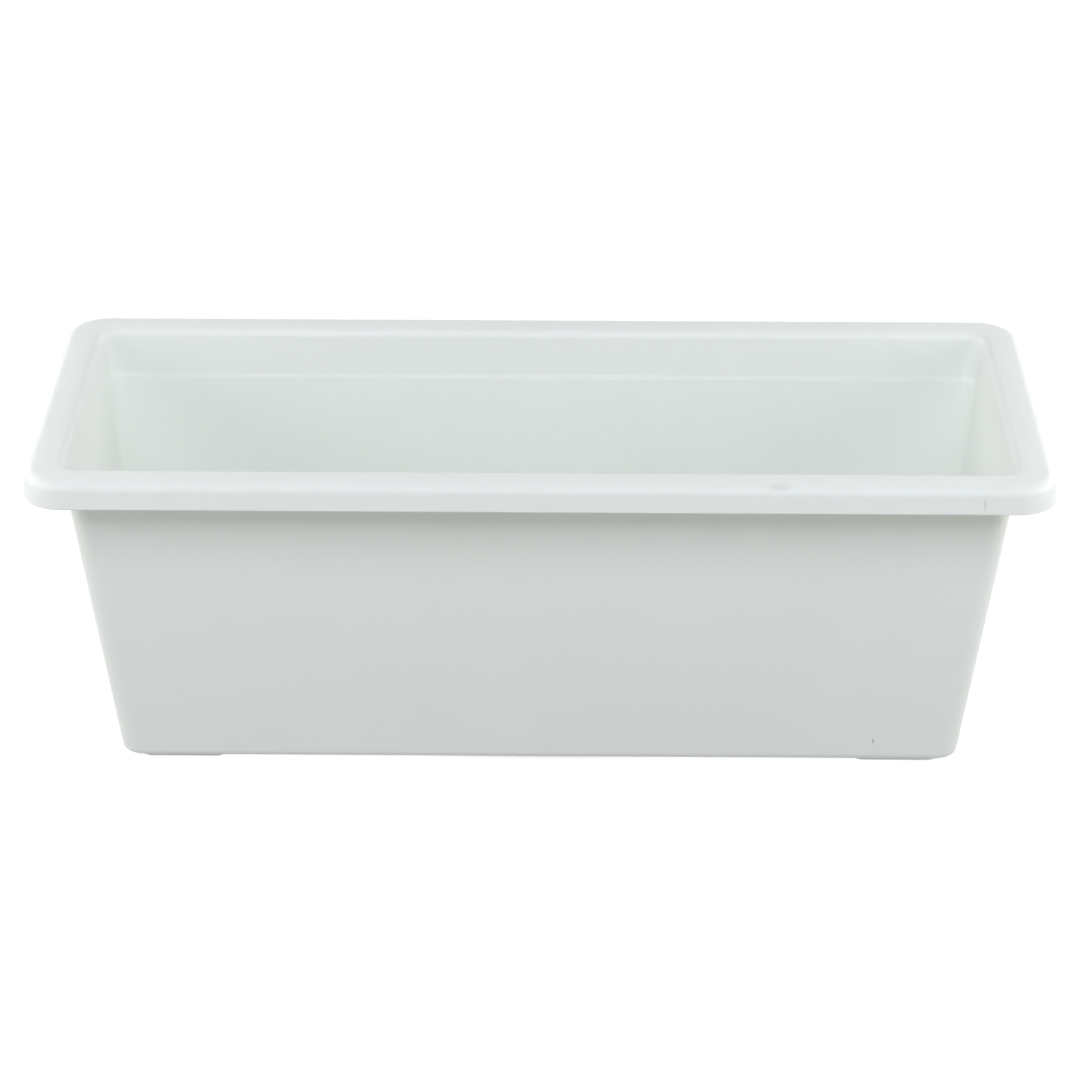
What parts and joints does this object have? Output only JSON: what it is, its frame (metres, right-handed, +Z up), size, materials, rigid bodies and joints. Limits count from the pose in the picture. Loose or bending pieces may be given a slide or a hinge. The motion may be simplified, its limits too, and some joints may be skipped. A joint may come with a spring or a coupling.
{
  "type": "window box planter",
  "caption": "Long moulded plastic window box with leaning walls, a flat turned-down rim, low corner pads and lift-out drain plugs in its floor.",
  "frame": {"origin": "on the ground, under the middle of the box", "axes": "+X along the box towards its right end, +Z up, and the pictured front faces -Y"},
  "size_m": [0.61, 0.241, 0.216],
  "materials": {
    "trough_plastic": "satin white injection-moulded polypropylene",
    "plug_plastic": "duller white soft polyethylene"
  },
  "bodies": {
    "trough": {"planter_trough": "trough_plastic"},
    "plug_1": {"drain_plug_1": "plug_plastic"},
    "plug_2": {"drain_plug_2": "plug_plastic"},
    "plug_3": {"drain_plug_3": "plug_plastic"},
    "plug_4": {"drain_plug_4": "plug_plastic"},
    "plug_5": {"drain_plug_5": "plug_plastic"},
    "plug_6": {"drain_plug_6": "plug_plastic"}
  },
  "joints": [
    {"name": "plug_1_lift", "type": "slide", "parent": "trough", "child": "plug_1", "axis": [0, 0, 1], "range_m": [0, 0.012]},
    {"name": "plug_2_lift", "type": "slide", "parent": "trough", "child": "plug_2", "axis": [0, 0, 1], "range_m": [0, 0.012]},
    {"name": "plug_3_lift", "type": "slide", "parent": "trough", "child": "plug_3", "axis": [0, 0, 1], "range_m": [0, 0.012]},
    {"name": "plug_4_lift", "type": "slide", "parent": "trough", "child": "plug_4", "axis": [0, 0, 1], "range_m": [0, 0.012]},
    {"name": "plug_5_lift", "type": "slide", "parent": "trough", "child": "plug_5", "axis": [0, 0, 1], "range_m": [0, 0.012]},
    {"name": "plug_6_lift", "type": "slide", "parent": "trough", "child": "plug_6", "axis": [0, 0, 1], "range_m": [0, 0.012]}
  ]
}
